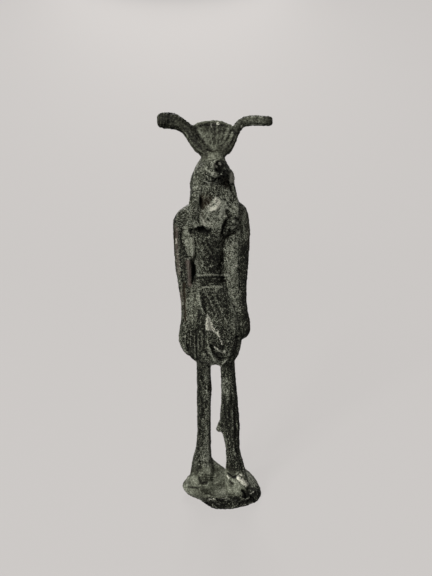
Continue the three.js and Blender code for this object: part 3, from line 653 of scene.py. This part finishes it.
# Cast skin: the marks made so far are pressed in, and the whole casting gets the slight waviness of
# its wax model and the fine pits of corrosion. The plinth's underside stays flat.
waviness = {"size": 2.0, "strength": 0.2, "noise_depth": 1}
pits = {"size": 0.45, "strength": 0.26, "noise_depth": 2}
pressed = skin.places + skin.normals * skin.height[:, None]
casting.data.vertices.foreach_set("co", pressed.ravel())
casting.data.update()


def roughen(name, size, strength, noise_depth):
    """Presses an uneven texture into the whole casting; size and strength in mm."""
    texture = bpy.data.textures.new(name, "CLOUDS")
    texture.noise_scale = size * mm
    texture.noise_depth = noise_depth
    finish_with(casting, "DISPLACE", texture=texture, texture_coords="LOCAL",
                strength=strength * mm, mid_level=0.5)


roughen("cast_waviness", **waviness)
roughen("corrosion_pits", **pits)
skin = Skin(casting)
skin.places[:, 2] = np.maximum(skin.places[:, 2], 0)
casting.data.vertices.foreach_set("co", skin.places.ravel())
choose(casting)
bpy.ops.object.shade_smooth()

# Patina: dark bronze with a pale grey-green bloom, white crusts of lime, brown dirt and a little bare
# copper, all grown in the ground. Raised points are rubbed pale, hollows hold dirt, and the sheltered
# back is more even. The same dark, pale and brown tints also carry painted shade and painted light
# in a few places at the front.
sheltered = 0.6
small_form = {"passes": 5, "height_mm": 0.035}
large_form = {"passes": 30, "height_mm": 0.12}
most_wear = 2


def stand_out(passes, height_mm):
    """How far each point stands out from the skin as smoothed by that many passes, as a share of a height."""
    edges = np.zeros((len(casting.data.edges), 2), int)
    casting.data.edges.foreach_get("vertices", edges.ravel())
    here, there = edges.T
    total = len(skin.places)
    shared = np.bincount(here, minlength=total) + np.bincount(there, minlength=total)
    smooth = skin.places.copy()
    for _ in range(passes):
        for axis in range(3):
            line = smooth[:, axis]
            pulled = np.bincount(here, line[there], total) + np.bincount(there, line[here], total)
            smooth[:, axis] = (line + pulled / shared) / 2
    height = ((skin.places - smooth) * skin.normals).sum(axis=1) / mm
    return np.clip((height - np.median(height)) / height_mm, -most_wear, most_wear)


tints["even"] = np.maximum(tints["even"], np.clip(skin.normals[:, 1], 0, sheltered))
tints["worn"] = (stand_out(**small_form) + stand_out(**large_form)) / 2
for name, amounts in tints.items():
    attribute = casting.data.attributes.new(name, "FLOAT", "POINT")
    attribute.data.foreach_set("value", amounts)


def fill(tree, socket, value):
    """Links a socket to another node's output, or sets it to a plain value."""
    if isinstance(value, bpy.types.NodeSocket):
        tree.links.new(value, socket)
    elif value is not None:
        socket.default_value = value


def shade(tree, kind, at, **inputs):
    """Adds a shader node and fills its sockets by name."""
    node = tree.nodes.new(kind)
    node.location = at
    for name, value in inputs.items():
        fill(tree, node.inputs[name.replace("_", " ")], value)
    return node


bronze = bpy.data.materials.new("patinated_bronze")
bronze.use_nodes = True
tree = bronze.node_tree
principled = tree.nodes["Principled BSDF"]
on_piece = shade(tree, "ShaderNodeTexCoord", (-1600, 0)).outputs["Object"]


def amount_of(name, row):
    """One of the tints that were brushed on."""
    node = shade(tree, "ShaderNodeAttribute", (-1400, -200 * row))
    node.attribute_name = name
    return node.outputs["Fac"]


def mottle(scale, detail, row):
    """An uneven pattern of that many patches to the metre."""
    return shade(tree, "ShaderNodeTexNoise", (-1400, 200 * row), Vector=on_piece, Scale=scale,
                 Detail=detail, Roughness=0.65).outputs["Fac"]


def reckon(operation, first, second, at, third=None):
    """The result of a sum with two or three values."""
    node = tree.nodes.new("ShaderNodeMath")
    node.operation = operation
    node.location = at
    for socket, value in zip(node.inputs, (first, second, third)):
        fill(tree, socket, value)
    return node.outputs[0]


def stain(colour, share, tone, at):
    """Lays a tone over a colour in places."""
    node = tree.nodes.new("ShaderNodeMix")
    node.data_type = "RGBA"
    node.location = at
    for socket, value in zip((node.inputs[0], node.inputs[6], node.inputs[7]), (share, colour, (*tone, 1))):
        fill(tree, socket, value)
    return node.outputs[2]


lime_white = (0.6, 0.595, 0.5)
dull_copper = (0.19, 0.15, 0.13)
dirt_and_shade_brown = (0.028, 0.018, 0.009)
bronze_tones = [(0.0, (0.003, 0.003, 0.002)), (0.2, (0.018, 0.018, 0.012)), (0.4, (0.046, 0.048, 0.034)),
                (0.6, (0.105, 0.111, 0.082)), (0.8, (0.19, 0.198, 0.155)), (1.0, (0.32, 0.33, 0.27))]
bloom_by = {"worn": 0.13, "pale": 0.34, "dark": -0.42}
bloom_by_relief = 2.9
bare_bronze = -0.15
speck_share = 1.9
relief_middle = 1.45
evening = -0.6
crust_break_up = 3.0
crust_starts = 0.35
crust_full = 0.9
copper_strength = 0.75
brown_strength = 0.6
pit_depth = 0.3 * mm

blotches = mottle(480, 6, 1)
grain = mottle(2300, 5, 2)
specks = mottle(5200, 3, 3)
unevenness = reckon("MULTIPLY_ADD", amount_of("even", 3), evening, (-1250, 100), 1.0)
level_grain = reckon("SUBTRACT", grain, relief_middle, (-1250, 200))
relief = reckon("MULTIPLY_ADD", specks, speck_share, (-1150, 200), level_grain)
rough_relief = reckon("MULTIPLY", relief, unevenness, (-1050, 200))
bloom = reckon("ADD", blotches, bare_bronze, (-1150, 300))
bloom = reckon("MULTIPLY_ADD", rough_relief, bloom_by_relief, (-950, 250), bloom)
for row, (name, weight) in enumerate(bloom_by.items()):
    bloom = reckon("MULTIPLY_ADD", amount_of(name, 5 + row), weight, (-900 + 100 * row, 250), bloom)
ramp = shade(tree, "ShaderNodeValToRGB", (-650, 250), Fac=bloom)
for index, (at, tone) in enumerate(bronze_tones):
    stop = ramp.color_ramp.elements[index] if index < 2 else ramp.color_ramp.elements.new(at)
    stop.position = at
    stop.color = (*tone, 1)
broken_up = reckon("MULTIPLY_ADD", relief, crust_break_up, (-1100, -400), 1.0)
crust = reckon("MULTIPLY", broken_up, amount_of("crust", 4), (-950, -400))
crusted = shade(tree, "ShaderNodeMapRange", (-800, -100), Value=crust, From_Min=crust_starts,
                From_Max=crust_full)
coppery = reckon("MULTIPLY", amount_of("copper", 1), copper_strength, (-800, -400))
browned = reckon("MULTIPLY", amount_of("brown", 2), brown_strength, (-800, -600))
colour = stain(ramp.outputs["Color"], crusted.outputs["Result"], lime_white, (-400, 100))
colour = stain(colour, coppery, dull_copper, (-250, 0))
colour = stain(colour, browned, dirt_and_shade_brown, (-100, 0))
tree.links.new(colour, principled.inputs["Base Color"])
bump = shade(tree, "ShaderNodeBump", (-300, -400), Height=rough_relief, Strength=1.0, Distance=pit_depth)
tree.links.new(bump.outputs["Normal"], principled.inputs["Normal"])
principled.inputs["Roughness"].default_value = 0.55
principled.inputs["Metallic"].default_value = 0.0
principled.inputs["Specular IOR Level"].default_value = 0.12
casting.data.materials.append(bronze)
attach(casting, "root")
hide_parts("statuette")

# The stage: a pale floor that curves up into a pale wall all round, far outside the figure. Its paint
# glows evenly, so that it stays one pale tone, and it throws no light or shade on the figure.
stage_radius = 2
stage_height = 2.4
stage_curve = 1.55
bpy.ops.object.select_all(action="DESELECT")
bpy.ops.mesh.primitive_cylinder_add(vertices=96, radius=stage_radius, depth=stage_height,
                                    location=(0, 0, stage_height / 2), end_fill_type="NGON")
floor = bpy.context.object
floor.name = "floor"
bpy.ops.object.transform_apply(location=True)
bpy.ops.object.mode_set(mode="EDIT")
bpy.ops.mesh.select_all(action="DESELECT")
bpy.ops.object.mode_set(mode="OBJECT")
for polygon in floor.data.polygons:
    polygon.select = polygon.normal.z > 0.5
bpy.ops.object.mode_set(mode="EDIT")
bpy.ops.mesh.delete(type="FACE")
bpy.ops.mesh.select_all(action="SELECT")
bpy.ops.mesh.flip_normals()
bpy.ops.object.mode_set(mode="OBJECT")
finish_with(floor, "BEVEL", width=stage_curve, segments=24, limit_method="ANGLE",
            angle_limit=math.radians(60))
bpy.ops.object.shade_smooth()
pale_floor = bpy.data.materials.new("pale_floor")
pale_floor.use_nodes = True
pale_paint = pale_floor.node_tree.nodes["Principled BSDF"]
pale_paint.inputs["Base Color"].default_value = (0.05, 0.048, 0.047, 1)
pale_paint.inputs["Emission Color"].default_value = (0.8, 0.77, 0.75, 1)
pale_paint.inputs["Emission Strength"].default_value = 0.67
pale_paint.inputs["Specular IOR Level"].default_value = 0.0
pale_paint.inputs["Roughness"].default_value = 0.9
floor.data.materials.append(pale_floor)
floor.visible_diffuse = False
floor.visible_glossy = False
floor.visible_shadow = False

# Light: a soft window at the upper left, a weak reflection from the room at the right, and a far
# window high up behind, which rims the figure's edges.
figure_middle = Vector((0, 0, 0.04))


def soft_light(name, place, size, power, tint):
    """A square lamp that faces the middle of the figure."""
    bpy.ops.object.light_add(type="AREA", location=place)
    light = bpy.context.object
    light.name = name
    light.data.size = size
    light.data.energy = power
    light.data.color = tint
    light.rotation_euler = (figure_middle - Vector(place)).to_track_quat("-Z", "Y").to_euler()


soft_light("window", (-0.66, -0.63, 0.44), 0.32, 16, (1, 0.99, 0.97))
soft_light("room", (0.61, -0.76, 0.24), 0.5, 0.8, (1, 0.96, 0.92))
soft_light("far_window", (0.15, 1.5, 1.3), 0.9, 36, (1, 0.98, 0.96))
world = bpy.data.worlds.new("pale_room")
bpy.context.scene.world = world
world.use_nodes = True
world.node_tree.nodes["Background"].inputs["Color"].default_value = (0.8, 0.79, 0.78, 1)
world.node_tree.nodes["Background"].inputs["Strength"].default_value = 0.21
bpy.context.scene.view_settings.view_transform = "Standard"
